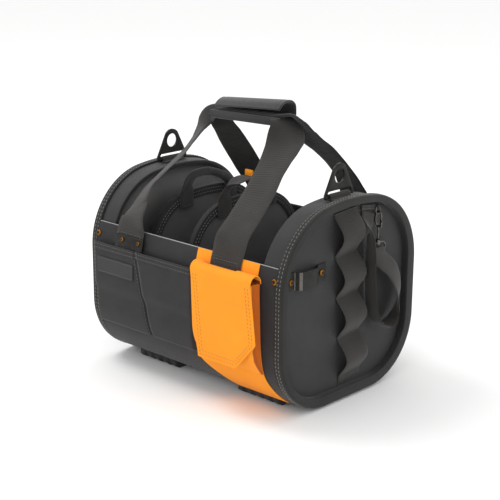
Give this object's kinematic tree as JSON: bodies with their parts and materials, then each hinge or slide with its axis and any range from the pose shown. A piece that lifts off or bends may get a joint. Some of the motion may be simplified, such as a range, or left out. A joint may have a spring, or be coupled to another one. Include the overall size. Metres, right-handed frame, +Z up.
{
  "type": "open-top tool bag",
  "caption": "Open-top tool bag with padded ends, bound dividers, webbing carry straps joined by a padded grip, a front pocket, an orange flap pouch, tool loops and rubber feet.",
  "frame": {"origin": "on the floor, under the middle of the bag's bounding box", "axes": "+Z up, +X to the right along the long walls, -Y out of the front wall with the pouch"},
  "size_m": [0.3534, 0.2788, 0.3612],
  "materials": {
    "shell_fabric": "coarse coated weave, dull",
    "padded_fabric": "fine weave over foam, faint sheen",
    "binding_tape": "ribbed tape with two rows of stitches",
    "webbing": "ribbed woven webbing",
    "orange_fabric": "smooth coated weave, slight sheen",
    "patch": "smooth, bare",
    "black_metal": "satin black coating",
    "nickel": "nickel plated",
    "copper": "copper plated, slightly dull",
    "rubber": "matt, ribbed"
  },
  "bodies": {
    "bag": {"body_shell": "shell_fabric", "front_pocket": "shell_fabric", "grip_wrap": "shell_fabric", "divider_1_handle": "shell_fabric", "end_hoop_left": "shell_fabric", "end_hoop_right": "shell_fabric", "end_face_left": "padded_fabric", "end_face_right": "padded_fabric", "divider_1_panel": "padded_fabric", "divider_2_panel": "padded_fabric", "end_binding_left": "binding_tape", "end_binding_right": "binding_tape", "rim_strip_front": "binding_tape", "rim_strip_back": "binding_tape", "divider_1_binding": "binding_tape", "divider_2_binding": "binding_tape", "strap_front": "webbing", "strap_back": "webbing", "divider_2_handle": "webbing", "ring_keeper_left": "webbing", "ring_keeper_right": "webbing", "tool_loops": "webbing", "tape_anchor": "webbing", "tape_loop": "webbing", "orange_panel": "orange_fabric", "pouch_body": "orange_fabric", "pouch_flap": "orange_fabric", "pull_tab": "orange_fabric", "label_patch": "patch", "bar_clip_front": "black_metal", "tape_clip": "black_metal", "hook_link": "nickel", "hook_body": "nickel", "hook_base": "nickel", "rivet_front_left": "copper", "rivet_back_left": "copper", "rivet_front_right": "copper", "rivet_back_right": "copper", "bar_clip_rivet_left": "copper", "bar_clip_rivet_right": "copper", "tape_clip_rivet_left": "copper", "tape_clip_rivet_right": "copper", "foot_front_left": "rubber", "foot_front_right": "rubber", "foot_back_left": "rubber", "foot_back_right": "rubber"},
    "ring_left": {"ring_left": "black_metal"},
    "ring_right": {"ring_right": "black_metal"},
    "hook_gate": {"hook_gate": "nickel"}
  },
  "joints": [
    {"name": "ring_left_hinge", "type": "hinge", "parent": "bag", "child": "ring_left", "pos_m": [-0.15673, 0.0078, 0.2587], "axis": [0, 1, 0], "range_deg": [-75, 75]},
    {"name": "ring_right_hinge", "type": "hinge", "parent": "bag", "child": "ring_right", "pos_m": [0.13927, 0.0078, 0.2587], "axis": [0, 1, 0], "range_deg": [-75, 75]},
    {"name": "hook_gate_hinge", "type": "hinge", "parent": "bag", "child": "hook_gate", "pos_m": [0.15877, 0.0618, 0.2145], "axis": [0, -1, 0], "range_deg": [0, 22], "stiffness_Nm_per_rad": 0.005}
  ]
}
